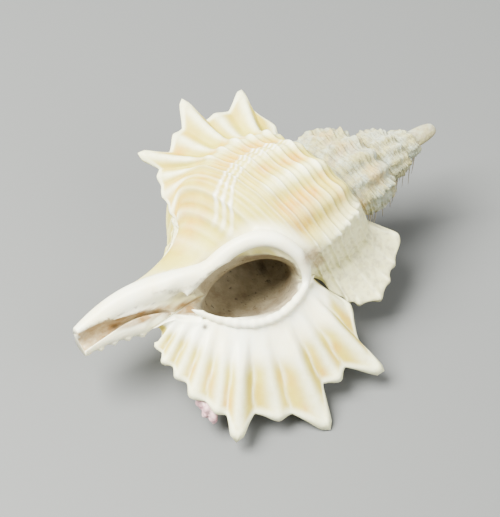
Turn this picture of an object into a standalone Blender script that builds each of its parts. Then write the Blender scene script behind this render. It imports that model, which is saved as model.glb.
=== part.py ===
"""Maple-leaf triton shell: one grown piece, lying on its back with the aperture up.

The outer surface is a loft along the growing whorl. Its section is a curve from the suture
over the shoulder and the periphery to the base and the open canal. Every half turn the section
is drawn out into a thin spiked wing, the varix. All lengths are millimetres until the mesh is
made, which is in metres.

Shell axes while it is shaped: the coiling axis is Z with the apex at the origin and the canal
below it, X points to the outer lip, and Y to the back of the shell.
"""
import math

import bmesh
import bpy
from mathutils import Euler, Matrix, Vector

# Growth
WHORL_RATE = 1.66          # every measure grows by this much in one turn
TURNS = 4.3                # turns kept, the oldest ones are worn away
NOSE_RISE = (35.0, 65.0)   # rings of the worn round tip, in degrees up from its edge
VARIX_STEP = 184.0         # degrees of growth from one wing to the next
LIP_ANGLE = -9.0           # the growing edge stands this far in front of the last wing
FLATNESS = 0.85            # the shell is flattened front to back
BACK_FLATNESS = 0.70       # and more so on its back

# Section at the lip: suture, shoulder, periphery and the suture of the next turn
SUTURE_R = 10.4
SUTURE_Z = -32.0
SHOULDER = ((0.10, 14.2, -32.9), (0.20, 16.4, -35.4))
PERIPHERY = ((0.46, 18.1, -42.0), (0.74, 18.1, -48.0))
SECTION = ((0.0, SUTURE_R, SUTURE_Z),) + SHOULDER + PERIPHERY + (
    (1.0, SUTURE_R * WHORL_RATE, SUTURE_Z * WHORL_RATE),)

# Base and canal
BASE_S = 1.5               # place on the section where the base meets the canal
BASE_HUG = 0.20            # the base is drawn in by this share on the back
CANAL_TOP = -58.5
CANAL_TIP = -68.3
CANAL_WIDTH = (4.0, 2.9, 2.1)
CANAL_SWAY = (0.7, 0.4, 0.6)

# Wing ribs of the section at the lip: place on the section, radius, height, and rib height
RIBS = (
    (0.06, 17.4, -29.9, 0.4),
    (0.20, 28.1, -31.0, 0.9),
    (0.33, 25.8, -37.4, 0.5),
    (0.46, 30.8, -42.7, 0.9),
    (0.60, 25.9, -48.7, 0.5),
    (0.74, 25.1, -55.8, 0.9),
    (0.86, 20.2, -56.2, 0.5),
    (0.97, 16.2, -57.9, 0.7),
    (1.08, 12.6, -58.2, 0.5),
    (1.20, 9.7, -58.6, 0.6),
    (1.32, 6.9, -58.5, 0.4),
)
# Bottoms of the notches between those ribs
NOTCHES = (
    (0.13, 22.5, -31.4),
    (0.265, 25.0, -35.6),
    (0.395, 25.3, -40.0),
    (0.53, 26.6, -46.6),
    (0.67, 23.6, -51.6),
    (0.80, 21.6, -55.4),
    (0.915, 18.2, -57.0),
    (1.025, 14.3, -57.8),
    (1.14, 11.1, -58.2),
    (1.26, 8.4, -58.4),
)
# Where the edge of the wing before is not the same: place on the section, radius, height
OLDER_EDGE = (
    (0.20, 27.0, -31.7),
    (0.265, 25.0, -36.1),
    (0.33, 25.4, -39.0),
    (0.395, 25.7, -41.3),
    (0.46, 31.3, -43.3),
    (0.74, 26.1, -56.9),
)
# The rim of the newest wing curls to the back: reach where it starts, reach and curl at the tips
CURL = (18.0, 31.0, 3.0)
# Edge of the older wings, whose spikes are worn to a rounded outline
WORN_EDGE = (
    (0.06, 20.0, -26.6),
    (0.20, 25.4, -31.8),
    (0.33, 28.6, -35.4),
    (0.46, 31.3, -40.0),
    (0.60, 29.6, -45.4),
    (0.80, 26.0, -48.6),
    (1.00, 19.0, -52.5),
)
WING_END = 1.42            # place on the section where the wing has run out
# How much of each wing is left, newest first
WING_LEFT = (1.0, 1.0, 1.0, 0.26, 0.10, 0.16, 0.10, 0.08, 0.05)
# Wing build-up: degrees behind the wing, share of the full reach
WING_BACK = ((40, 0.0), (31, 0.015), (23, 0.04), (16, 0.08), (10.5, 0.15), (6.5, 0.28),
             (3.8, 0.52), (2.2, 0.80), (1.0, 1.0))
WING_FRONT = ((-1.0, 1.0), (-2.2, 0.80), (-3.8, 0.52), (-6.0, 0.24), (-9.0, 0.0))
# Axial folds between two wings: degrees from one to the next, where they start, and height
FOLD_STEP = 22.5
FOLD_START = 40.0
FOLD_HEIGHT = 0.9
# Large knob in the middle of the back: growth angle, place, height and both half widths
BACK_KNOB = (88.0, 0.36, 4.2, 24.0, 0.26)

# Inner edge of the lip's face, from the suture to the canal: place on the section and point
LIP_EDGE = (
    (0.00, 11.2, -3.0, -32.9),
    (0.13, 12.2, -4.0, -34.6),
    (0.33, 13.6, -4.4, -38.5),
    (0.53, 13.5, -4.4, -43.0),
    (0.74, 12.0, -4.4, -46.8),
    (0.97, 9.2, -4.2, -49.9),
    (1.20, 6.6, -3.9, -52.6),
    (1.42, 5.2, -3.0, -56.2),
)
FACE_SHARES = (0.0, 0.2, 0.4, 0.6, 0.8, 0.94)    # places from that edge to the wing's tips

# Raised rim round the aperture: point, half width and half height, from the back corner
# along the outer lip to the canal and back over the inner lip
RIM = (
    (11.4, -4.6, -34.5, 0.8, 0.9),
    (13.1, -4.6, -37.6, 0.7, 0.7),
    (13.7, -4.6, -41.1, 0.7, 0.7),
    (13.0, -4.6, -44.6, 0.7, 0.7),
    (11.2, -4.6, -47.5, 0.7, 0.7),
    (8.5, -4.4, -49.8, 0.7, 0.7),
    (5.6, -4.3, -51.4, 0.8, 0.8),
    (3.6, -4.9, -49.6, 1.3, 1.2),
    (2.2, -6.4, -46.0, 1.5, 1.4),
    (2.0, -8.2, -42.2, 1.5, 1.5),
    (2.9, -9.5, -38.8, 1.5, 1.5),
    (5.1, -9.9, -36.2, 1.4, 1.4),
    (8.5, -8.1, -34.3, 1.2, 1.2),
)
# Fold along the upper side of the canal: point and radius
FOLD = (
    (2.3, -6.2, -46.5, 1.3),
    (0.6, -5.2, -50.5, 2.0),
    (-0.9, -3.8, -55.0, 2.2),
    (-1.3, -2.9, -59.5, 2.0),
    (-1.0, -2.2, -64.0, 1.7),
    (-0.4, -1.8, -68.2, 1.2),
)
# Slot of the open canal: point, half width and depth
SLOT = (
    (5.4, -4.0, -50.8, 0.45, 3.0),
    (3.2, -3.6, -55.5, 0.40, 2.8),
    (1.9, -3.4, -60.0, 0.45, 2.8),
    (1.3, -3.0, -64.0, 1.00, 2.6),
    (1.2, -2.6, -69.5, 1.50, 2.4),
)

# Opening of the aperture: its centre, two half axes and the way in
MOUTH = Vector((7.5, -5.6, -43.1))
MOUTH_LONG = Vector((2.75, 0.0, 7.0))
MOUTH_SHORT = Vector((3.3, 1.65, -2.78))
MOUTH_IN = Vector((-0.21, 0.93, 0.29))
MOUTH_DEPTHS = ((-9.0, 0.98), (-4.0, 0.98), (0.0, 1.0), (4.0, 1.12))    # way in, size
# Hollow of the whorl, as a share of the section at the lip
HOLLOW_R = 10.8
HOLLOW_Z = -43.2
HOLLOW_WIDE = 6.2
HOLLOW_TALL = 8.2
HOLLOW_ANGLES = (22, 38) + tuple(range(60, 560, 25)) + (570,)
HOLLOW_FADE = 480.0
HOLLOW_END = 580.0

# Pink crust grown on the back of the last wing: centre, half sizes, turn about Y in degrees
CRUST = ((18.2, 1.9, -56.0), (3.1, 1.7, 1.8), 24.0)

# Lying on the back: turns about X, Y and Z in degrees
REST_TURN = (-85.0, 20.22, -53.62)

SHARP_ANGLE = 50.0         # edges turned by more than this stay sharp in the smooth shading
MM = 0.001


def growth(angle):
    """Scale of the shell at a growth angle in degrees, counted back from the last wing."""
    return WHORL_RATE ** (-angle / 360.0)


def smooth(low, high, value):
    """Ease from 0 at low to 1 at high."""
    share = min(max((value - low) / (high - low), 0.0), 1.0)
    return share * share * (3.0 - 2.0 * share)


def through(points, place):
    """Catmull-Rom curve through (place, value, value) points."""
    last = len(points) - 1
    index = 0
    while index < last - 1 and place > points[index + 1][0]:
        index += 1
    here, there = points[index], points[index + 1]
    before, after = points[max(index - 1, 0)], points[min(index + 2, last)]
    share = (place - here[0]) / (there[0] - here[0])
    result = []
    for axis in (1, 2):
        start = (there[axis] - before[axis]) / (there[0] - before[0]) * (there[0] - here[0])
        end = (after[axis] - here[axis]) / (after[0] - here[0]) * (there[0] - here[0])
        result.append((2 * share ** 3 - 3 * share ** 2 + 1) * here[axis]
                      + (share ** 3 - 2 * share ** 2 + share) * start
                      + (3 * share ** 2 - 2 * share ** 3) * there[axis]
                      + (share ** 3 - share ** 2) * end)
    return result


def around(angle, radius, height):
    """Point at an azimuth around the coiling axis."""
    turn = math.radians(angle)
    depth = radius * math.sin(turn)
    return Vector((radius * math.cos(turn),
                   depth * (BACK_FLATNESS if depth > 0.0 else FLATNESS), height))


def canal_point(angle, share):
    """Point on the canal, share 0 at its top and 1 at its tip."""
    height = CANAL_TOP + (CANAL_TIP - CANAL_TOP) * share
    path = [(place, CANAL_WIDTH[i], CANAL_SWAY[i]) for i, place in enumerate((0.0, 0.5, 1.0))]
    width, sway = through(path, share)
    return around(angle, width, height) + Vector((sway, 0.0, 0.0))


def body_point(place, angle):
    """Point of the whorl without its wing."""
    scale = growth(angle)
    if place <= 1.0:
        radius, height = through(SECTION, place)
        return around(angle, radius * scale, height * scale)
    if place >= BASE_S:
        return canal_point(angle, (place - BASE_S) / (2.0 - BASE_S))
    share = (place - 1.0) / (BASE_S - 1.0)
    start = around(angle, SUTURE_R * WHORL_RATE * scale, SUTURE_Z * WHORL_RATE * scale)
    end = canal_point(angle, 0.0)
    drop = start.z - end.z
    hug = 1.0 - BASE_HUG * math.sqrt(max(math.sin(math.radians(angle)), 0.0))
    first = around(angle, 0.93 * hug * SUTURE_R * WHORL_RATE * scale, start.z - 0.19 * drop)
    second = around(angle, 2.2, end.z + 0.81 * drop)
    rest = 1.0 - share
    return (rest ** 3 * start + 3 * rest * rest * share * first
            + 3 * rest * share * share * second + share ** 3 * end)


def wing_edge(place, number):
    """Radius and height of the wing's edge at the lip, pointed at each rib."""
    if number >= 2:
        return through(((0.0, SUTURE_R, SUTURE_Z),) + WORN_EDGE, place)
    tips = [rib[0] for rib in RIBS]
    edge = {mark[0]: mark[1:3] for mark in ((0.0, SUTURE_R, SUTURE_Z),) + RIBS + NOTCHES}
    if number == 1:
        edge.update({mark[0]: mark[1:] for mark in OLDER_EDGE})
    marks = sorted((spot,) + point + (spot in tips,) for spot, point in edge.items())
    for low, high in zip(marks, marks[1:]):
        if low[0] <= place <= high[0]:
            share = (place - low[0]) / (high[0] - low[0])
            bent = share ** 1.5 if high[3] else 1.0 - (1.0 - share) ** 1.5
            return (low[1] + (high[1] - low[1]) * bent, low[2] + (high[2] - low[2]) * bent)
    return marks[-1][1], marks[-1][2]


def cord(place):
    """Height of the spiral cords across the section, in mm at the lip."""
    height = 0.0
    for index, rib in enumerate(RIBS):
        low = RIBS[index - 1][0] if index else 0.0
        high = RIBS[index + 1][0] if index + 1 < len(RIBS) else WING_END
        reach = 0.5 * ((rib[0] - low) if place < rib[0] else (high - rib[0]))
        if abs(place - rib[0]) < reach:
            height += rib[3] * math.cos(0.5 * math.pi * (place - rib[0]) / reach) ** 2
    return height


def lip_edge(place):
    """Point of the inner edge of the lip's face."""
    if place > LIP_EDGE[-1][0]:
        low = Vector(LIP_EDGE[-1][1:])
        share = (place - LIP_EDGE[-1][0]) / (BASE_S - LIP_EDGE[-1][0])
        return low.lerp(canal_point(LIP_ANGLE, 0.0), min(share, 1.0))
    flat = through([(mark[0], mark[1], mark[3]) for mark in LIP_EDGE], place)
    depth = through([(mark[0], mark[2], 0.0) for mark in LIP_EDGE], place)[0]
    return Vector((flat[0], depth, flat[1]))


def shell_point(place, station):
    """Point of the outer surface.

    A station is (angle, wing angle, share of the wing's reach, wing number). On the lip's face
    the share is negative: from -1 at the aperture's edge towards 0 at the wing's tips.
    """
    angle, wing_angle, reach, number = station
    if reach < 0.0 and place < BASE_S:
        return shell_point(place, (0.0, 0.0, 1.0, 0)).lerp(lip_edge(place), -reach)
    point = body_point(place, angle)
    if reach <= 0.0 or place >= WING_END:
        return point
    left = WING_LEFT[min(number, len(WING_LEFT) - 1)]
    if number >= 2:
        left *= 1.0 - smooth(0.70, 0.98, place)
    left *= 1.0 - smooth(1.30, WING_END, place)
    radius, height = wing_edge(place, number)
    scale = growth(wing_angle)
    edge = around(wing_angle, radius * scale, height * scale)
    edge.y = (radius * scale) * math.sin(math.radians(wing_angle))
    if number == 0:
        edge.y += CURL[2] * (max(radius - CURL[0], 0.0) / (CURL[1] - CURL[0])) ** 2
    return point + (edge - body_point(place, wing_angle)) * (reach * left)


def stations():
    """Places along the growth, from the lip back to the worn tip."""
    found = []
    number = 0
    angle = 0.0
    stop = 360.0 * TURNS
    while angle < stop:
        front = WING_FRONT if number else ()
        for offset, reach in front + WING_BACK:
            found.append((angle + offset, angle, reach, number))
        start = angle + WING_BACK[0][0]
        length = VARIX_STEP + WING_FRONT[-1][0] - WING_BACK[0][0]
        steps = 12 if number < 4 else 8
        for step in range(1, steps):
            found.append((start + length * step / steps, angle, 0.0, number))
        number += 1
        angle += VARIX_STEP
    close = 360.0 + LIP_ANGLE
    found.append((close, 2 * VARIX_STEP, 0.0, 2))
    found = sorted(set(found))
    kept = [(LIP_ANGLE * (1.0 - share), 0.0, share - 1.0, 0) for share in FACE_SHARES]
    for station in found:
        if station[0] > stop:
            break
        if station[0] != close and abs(station[0] - close) < 1.2:
            continue
        kept.append(station)
    return kept


def places():
    """Places across the section, on the cords and between them."""
    found = [0.0] + [rib[0] for rib in RIBS] + [notch[0] for notch in NOTCHES]
    return sorted(found) + [WING_END, BASE_S, 1.66, 1.83, 2.0]


def relief(place, station):
    """Height of the cords and knobs on the surface in mm."""
    angle, wing_angle, reach, number = station
    scale = growth(angle)
    height = cord(place) * scale
    if number and place < 1.0:
        height *= smooth(1.0, 0.9, place)
    height *= 1.0 - smooth(1.25, 1.45, place)
    offset = (angle - wing_angle) % VARIX_STEP
    ridge = 0.5 - 0.5 * math.cos(2 * math.pi * (offset - FOLD_START) / FOLD_STEP)
    ridge *= smooth(8.0, 26.0, offset) * smooth(VARIX_STEP + LIP_ANGLE, 158.0, offset)
    height += FOLD_HEIGHT * scale * ridge * smooth(0.0, 0.15, place) * smooth(1.1, 0.6, place)
    middle, centre, knob, wide, tall = BACK_KNOB
    away = math.hypot((angle - middle) / wide, (place - centre) / tall)
    if away < 1.0:
        height += knob * math.cos(0.5 * math.pi * away) ** 2
    return height * (1.0 - 0.6 * (1.0 + reach if reach < 0.0 else reach))


def surface_grid(columns, rows):
    """Grid of surface points, raised along the surface by the relief."""
    plain = [[shell_point(place, station) for place in rows] for station in columns]
    raised = []
    for i, station in enumerate(columns):
        line = []
        for j, place in enumerate(rows):
            across = plain[i][min(j + 1, len(rows) - 1)] - plain[i][max(j - 1, 0)]
            along = plain[min(i + 1, len(columns) - 1)][j] - plain[max(i - 1, 0)][j]
            normal = across.cross(along)
            if normal.length < 1e-6:
                normal = plain[i][j].copy()
            line.append(plain[i][j] + normal.normalized() * relief(place, station))
        raised.append(line)
    return raised


def zipper(mesh, first, second):
    """Close the strip between two rows of vertices with triangles."""
    i = j = 0
    while i < len(first) - 1 or j < len(second) - 1:
        step_first = i < len(first) - 1
        if step_first and j < len(second) - 1:
            step_first = ((first[i + 1].co - second[j].co).length
                          < (second[j + 1].co - first[i].co).length)
        corners = [first[i], second[j]]
        if step_first:
            i += 1
            corners.append(first[i])
        else:
            j += 1
            corners.append(second[j])
        if len(set(corners)) == 3:
            mesh.faces.new(corners)


def outer_surface():
    """The closed outer form, with the aperture still filled."""
    columns = stations()
    rows = places()
    grid = surface_grid(columns, rows)
    close = next(i for i, column in enumerate(columns) if column[0] == 360.0 + LIP_ANGLE)
    inner = sum(1 for place in rows if place < 0.93)
    merge = rows.index(BASE_S)
    mesh = bmesh.new()
    table = []
    for i, line in enumerate(grid):
        count = len(rows) if i <= close else inner
        verts = []
        for j in range(count):
            if i == close and j >= merge:
                verts.append(table[0][j])
            else:
                verts.append(mesh.verts.new(line[j]))
        table.append(verts)
    for i in range(len(table) - 1):
        count = min(len(table[i]), len(table[i + 1]))
        for j in range(count - 1):
            corners = [table[i][j], table[i + 1][j], table[i + 1][j + 1], table[i][j + 1]]
            if len(set(corners)) == 4:
                mesh.faces.new(corners)
    suture = [verts[0] for verts in table]
    covered = [verts[inner - 1] for verts in table[close:]]
    open_from = next(i for i, column in enumerate(columns)
                     if column[0] >= columns[-1][0] - 360.0)
    zipper(mesh, suture[:open_from + 1], covered)
    zipper(mesh, table[0][:merge + 1], table[close][inner - 1:merge + 1])
    tip_ring = [verts[-1] for verts in table[:close]]
    mesh.faces.new(tip_ring)
    apex_loop = suture[open_from:] + table[-1][1:]
    rings = [apex_loop]
    for rise in NOSE_RISE:
        turn = math.radians(rise)
        rings.append([mesh.verts.new((vert.co.x * math.cos(turn), vert.co.y * math.cos(turn),
                                      vert.co.z * (1.0 - math.sin(turn)))) for vert in apex_loop])
    top = mesh.verts.new((0.0, 0.0, 0.0))
    for k in range(len(apex_loop)):
        after = (k + 1) % len(apex_loop)
        for low, high in zip(rings, rings[1:]):
            mesh.faces.new((low[k], low[after], high[after], high[k]))
        mesh.faces.new((rings[-1][k], rings[-1][after], top))
    bmesh.ops.recalc_face_normals(mesh, faces=mesh.faces)
    return mesh


def smooth_line(points, steps, closed):
    """Points with their sizes on a Catmull-Rom line through the given ones."""
    count = len(points)
    line = []
    for index in range(count if closed else count - 1):
        if closed:
            near = [points[(index + shift) % count] for shift in (-1, 0, 1, 2)]
        else:
            near = [points[min(max(index + shift, 0), count - 1)] for shift in (-1, 0, 1, 2)]
        for step in range(steps):
            share = step / steps
            line.append([0.5 * (2 * b + (c - a) * share + (2 * a - 5 * b + 4 * c - d) * share ** 2
                                + (3 * b - a - 3 * c + d) * share ** 3)
                         for a, b, c, d in zip(*near)])
    if not closed:
        line.append(list(points[-1]))
    return line


def tube(line, sides, closed, toward):
    """Closed tube along a line of points with a half width and a half height each."""
    mesh = bmesh.new()
    rings = []
    count = len(line)
    for index, mark in enumerate(line):
        centre = Vector(mark[:3])
        if closed:
            along = Vector(line[(index + 1) % count][:3]) - Vector(line[index - 1][:3])
        else:
            along = (Vector(line[min(index + 1, count - 1)][:3])
                     - Vector(line[max(index - 1, 0)][:3]))
        side = along.cross(toward).normalized()
        rise = side.cross(along).normalized()
        wide, high = mark[3], mark[-1]
        ring = []
        for step in range(sides):
            turn = 2 * math.pi * step / sides
            ring.append(mesh.verts.new(centre + side * (wide * math.cos(turn))
                                       + rise * (high * math.sin(turn))))
        rings.append(ring)
    for index in range(count if closed else count - 1):
        here, there = rings[index], rings[(index + 1) % count]
        for step in range(sides):
            after = (step + 1) % sides
            mesh.faces.new((here[step], here[after], there[after], there[step]))
    if not closed:
        mesh.faces.new(rings[0])
        mesh.faces.new(rings[-1][::-1])
    bmesh.ops.recalc_face_normals(mesh, faces=mesh.faces)
    return mesh


def rings_to_mesh(rings):
    """Closed solid through rings of equal count, its ends capped."""
    mesh = bmesh.new()
    rows = [[mesh.verts.new(point) for point in ring] for ring in rings]
    for here, there in zip(rows, rows[1:]):
        for step in range(len(here)):
            after = (step + 1) % len(here)
            mesh.faces.new((here[step], here[after], there[after], there[step]))
    mesh.faces.new(rows[0])
    mesh.faces.new(rows[-1][::-1])
    bmesh.ops.recalc_face_normals(mesh, faces=mesh.faces)
    return mesh


def hollow_rings(sides):
    """Rings of the hollow, from in front of the aperture back along the whorl."""
    rings = []
    for depth, size in MOUTH_DEPTHS:
        centre = MOUTH + MOUTH_IN * depth
        ring = []
        for step in range(sides):
            turn = 2 * math.pi * step / sides
            ring.append(centre + MOUTH_LONG * (size * math.cos(turn))
                        + MOUTH_SHORT * (size * math.sin(turn)))
        rings.append(ring)
    for angle in HOLLOW_ANGLES:
        scale = growth(angle)
        faded = max((angle - HOLLOW_FADE) / (HOLLOW_END - HOLLOW_FADE), 0.0)
        end = math.sqrt(1.0 - faded ** 2)
        wide, tall = HOLLOW_WIDE * scale * end, HOLLOW_TALL * scale * end
        ring = []
        for step in range(sides):
            turn = 2 * math.pi * step / sides
            ring.append(around(angle, HOLLOW_R * scale + wide * math.sin(turn),
                               HOLLOW_Z * scale + tall * math.cos(turn)))
        rings.append(ring)
    return rings


def slot_rings():
    """Rings of the cutter for the canal's slot: narrow, open to the front."""
    rings = []
    for x, y, z, wide, depth in SLOT:
        rings.append([Vector((x - 2.2 * wide, y - 6.0, z)), Vector((x + 2.2 * wide, y - 6.0, z)),
                      Vector((x + wide, y, z)), Vector((x + 0.6 * wide, y + depth, z)),
                      Vector((x - 0.6 * wide, y + depth, z)), Vector((x - wide, y, z))])
    return rings


def crust():
    """Form of the lumpy crust on the back of the wing."""
    mesh = bmesh.new()
    bmesh.ops.create_icosphere(mesh, subdivisions=2, radius=1.0)
    centre, sizes, turn = CRUST
    for vert in mesh.verts:
        lump = 1.0 + 0.16 * math.sin(7.0 * vert.co.x + 2.0) * math.sin(6.0 * vert.co.z + 1.0)
        vert.co = Vector([axis * size * lump for axis, size in zip(vert.co, sizes)])
    mesh.transform(Matrix.Translation(centre) @ Matrix.Rotation(math.radians(turn), 4, "Y"))
    return mesh


def as_object(name, mesh, collection):
    """Object from a bmesh, turned to the rest pose and scaled to metres."""
    data = bpy.data.meshes.new(name)
    turn = Euler([math.radians(value) for value in REST_TURN]).to_matrix().to_4x4()
    mesh.transform(Matrix.Scale(MM, 4) @ turn)
    mesh.to_mesh(data)
    mesh.free()
    data.shade_smooth()
    data.set_sharp_from_angle(angle=math.radians(SHARP_ANGLE))
    item = bpy.data.objects.new(name, data)
    collection.objects.link(item)
    return item


def shell_material():
    """Cream, slightly glossy shell."""
    material = bpy.data.materials.new("shell")
    material.use_nodes = True
    surface = material.node_tree.nodes["Principled BSDF"]
    surface.inputs["Base Color"].default_value = (0.83, 0.76, 0.62, 1.0)
    surface.inputs["Roughness"].default_value = 0.45
    surface.inputs["Metallic"].default_value = 0.0
    material.diffuse_color = (0.83, 0.76, 0.62, 1.0)
    return material


def stand_on_origin(shell, others):
    """Move everything so the shell's lowest point is at height 0 over the middle of its box."""
    graph = bpy.context.evaluated_depsgraph_get()
    points = [vert.co for vert in shell.evaluated_get(graph).data.vertices]
    low = Vector([min(point[axis] for point in points) for axis in range(3)])
    high = Vector([max(point[axis] for point in points) for axis in range(3)])
    shift = Vector((-(low.x + high.x) / 2, -(low.y + high.y) / 2, -low.z))
    for item in [shell] + others:
        item.location = shift


def main():
    """Build the shell in one collection and the forms that shape it in another."""
    for item in list(bpy.data.objects):
        bpy.data.objects.remove(item, do_unlink=True)
    parts = bpy.data.collections.new("triton_shell")
    tools = bpy.data.collections.new("cutters")
    for collection in (parts, tools):
        bpy.context.scene.collection.children.link(collection)
    shell = as_object("shell", outer_surface(), parts)
    shell.data.materials.append(shell_material())
    front = Vector((0.0, -1.0, 0.0))
    steps = (
        ("rim_form", tube(smooth_line(RIM, 3, True), 8, True, front), "UNION"),
        ("fold_form", tube(smooth_line(FOLD, 3, False), 10, False, front), "UNION"),
        ("crust_form", crust(), "UNION"),
        ("hollow_cutter", rings_to_mesh(hollow_rings(16)), "DIFFERENCE"),
        ("slot_cutter", rings_to_mesh(slot_rings()), "DIFFERENCE"),
    )
    forms = []
    for name, mesh, operation in steps:
        form = as_object(name, mesh, tools)
        form.hide_render = True
        form.display_type = "WIRE"
        change = shell.modifiers.new(name, "BOOLEAN")
        change.operation = operation
        change.object = form
        forms.append(form)
    stand_on_origin(shell, forms)


main()
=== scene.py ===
import math
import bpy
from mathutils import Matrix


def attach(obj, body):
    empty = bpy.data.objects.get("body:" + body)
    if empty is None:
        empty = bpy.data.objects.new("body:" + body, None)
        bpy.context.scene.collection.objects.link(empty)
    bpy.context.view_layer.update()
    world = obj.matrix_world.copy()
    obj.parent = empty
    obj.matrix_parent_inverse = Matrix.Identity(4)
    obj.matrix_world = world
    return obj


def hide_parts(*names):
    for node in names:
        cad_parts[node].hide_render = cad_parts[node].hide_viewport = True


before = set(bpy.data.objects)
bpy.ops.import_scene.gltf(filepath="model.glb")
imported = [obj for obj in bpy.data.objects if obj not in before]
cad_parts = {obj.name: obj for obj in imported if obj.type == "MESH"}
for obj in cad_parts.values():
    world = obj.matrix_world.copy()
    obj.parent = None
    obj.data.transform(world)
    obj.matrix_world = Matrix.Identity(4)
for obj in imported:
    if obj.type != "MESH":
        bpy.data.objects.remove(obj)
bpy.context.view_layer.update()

from types import SimpleNamespace

import bmesh
import bpy
import numpy as np
from mathutils import Euler, Matrix, Vector, noise
from mathutils.kdtree import KDTree

# The skin repeats the solid's driving dimensions, in millimetres and degrees of growth: apex at
# the origin, canal down along -Z, outer lip towards X, back of the shell towards Y.
WHORL_RATE = 1.66          # every measure grows by this much in one turn
TURNS = 4.3                # turns from the lip back to the worn tip
NOSE_RISE = (12.0, 24.0, 36.0, 48.0, 60.0, 70.0, 80.0)   # rings of the worn round tip
VARIX_STEP = 184.0         # degrees of growth from one wing to the next
LIP_ANGLE = -9.0           # the shell ends this far past the last wing
FLATNESS = 0.85            # depth against width at the front
BACK_FLATNESS = 0.70
SUTURE_R = 10.4            # where a whorl meets the one before it, at the lip
SUTURE_Z = -32.0
# Section at the lip: place, reach from the axis, height along it
SECTION = (
    (0.00, SUTURE_R, SUTURE_Z),
    (0.10, 14.2, -32.9),
    (0.20, 16.4, -35.4),
    (0.46, 18.1, -42.0),
    (0.74, 18.1, -48.0),
    (1.00, SUTURE_R * WHORL_RATE, SUTURE_Z * WHORL_RATE),
)
BASE_S = 1.5               # place on the section where the base meets the canal
BASE_HUG = 0.20            # how far the base draws in at the back
CANAL_TOP = -58.5          # heights of the canal's two ends
CANAL_TIP = -68.3
CANAL = ((0.0, 4.0, 0.7), (0.5, 2.9, 0.4), (1.0, 2.1, 0.6))   # share, half width, sway

# Ribs of the wings: place, reach from the axis, height along it, rib height
RIBS = (
    (0.06, 17.4, -29.9, 0.4),
    (0.20, 28.1, -31.0, 0.9),
    (0.33, 25.8, -37.4, 0.5),
    (0.46, 30.8, -42.7, 0.9),
    (0.60, 25.9, -48.7, 0.5),
    (0.74, 25.1, -55.8, 0.9),
    (0.86, 20.2, -56.2, 0.5),
    (0.97, 16.2, -57.9, 0.7),
    (1.08, 12.6, -58.2, 0.5),
    (1.20, 9.7, -58.6, 0.6),
    (1.32, 6.9, -58.5, 0.4),
)
# Edge of the wings between the ribs: place, reach from the axis, height along it
NOTCHES = (
    (0.13, 22.5, -31.4),
    (0.265, 25.0, -35.6),
    (0.395, 25.3, -40.0),
    (0.53, 26.6, -46.6),
    (0.67, 23.6, -51.6),
    (0.80, 21.6, -55.4),
    (0.915, 18.2, -57.0),
    (1.025, 14.3, -57.8),
    (1.14, 11.1, -58.2),
    (1.26, 8.4, -58.4),
)
RIB_PLACES = [rib[0] for rib in RIBS]
LAST_RIB = RIB_PLACES[-1]
NOTCH_PLACES = [notch[0] for notch in NOTCHES]
# Where the edge of the wing before the last one differs, and the rounded edge of the worn ones
OLDER_EDGE = (
    (0.20, 27.0, -31.7),
    (0.265, 25.0, -36.1),
    (0.33, 25.4, -39.0),
    (0.395, 25.7, -41.3),
    (0.46, 31.3, -43.3),
    (0.74, 26.1, -56.9),
)
WORN_EDGE = (
    (0.00, SUTURE_R, SUTURE_Z),
    (0.06, 20.0, -26.6),
    (0.20, 25.4, -31.8),
    (0.33, 28.6, -35.4),
    (0.46, 31.3, -40.0),
    (0.60, 29.6, -45.4),
    (0.80, 26.0, -48.6),
    (1.00, 19.0, -52.5),
)
WING_END = 1.42            # place where the wings run out on the canal
WING_LEFT = (1.0, 1.0, 1.0, 0.26, 0.10, 0.16, 0.10, 0.08, 0.05)   # share left of each wing
CURL = (18.0, 31.0, 3.0)   # the lip's wing bends back between two reaches, by this much
# Build-up of a wing: degrees from it, share of its full reach
WING_RISE = ((-40.0, 0.0), (-26.0, 0.02), (-15.0, 0.07), (-9.0, 0.16), (-6.0, 0.30), (-3.8, 0.53),
             (-2.2, 0.80), (-1.0, 0.985), (0.0, 1.0), (1.0, 0.985), (2.2, 0.80), (3.8, 0.53),
             (6.5, 0.30), (10.5, 0.17), (16.0, 0.10), (23.0, 0.055), (31.0, 0.02), (42.0, 0.0))
FOLD_STEP = 26.0           # degrees from one axial fold to the next
FOLD_START = 36.0          # a valley between two folds, in degrees behind a wing
FOLD_HEIGHT = 0.85
# Three rows of beads behind each wing: place, degrees to the first row, degrees between rows
BEADS = ((0.0, 39.0, 4.3), (0.60, 41.0, 4.3), (0.86, 45.0, 4.5), (0.97, 47.5, 5.2),
         (1.08, 52.0, 7.5), (1.20, 63.0, 10.0))
OLD_LIP = (119.0, 21.0)    # thin line of a former lip: degrees behind a wing, lean along the place
BACK_KNOB = (88.0, 0.36, 4.2, 24.0, 0.26)   # middle, place, height, width and span of places

# Inner edge of the lip's face: place and point
LIP_EDGE = (
    (0.00, 11.2, -3.0, -32.9),
    (0.13, 12.2, -4.0, -34.6),
    (0.33, 13.6, -4.4, -38.5),
    (0.53, 13.5, -4.4, -43.0),
    (0.74, 12.0, -4.4, -46.8),
    (0.97, 9.2, -4.2, -49.9),
    (1.20, 6.6, -3.9, -52.6),
    (1.42, 5.2, -3.0, -56.2),
)
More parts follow.
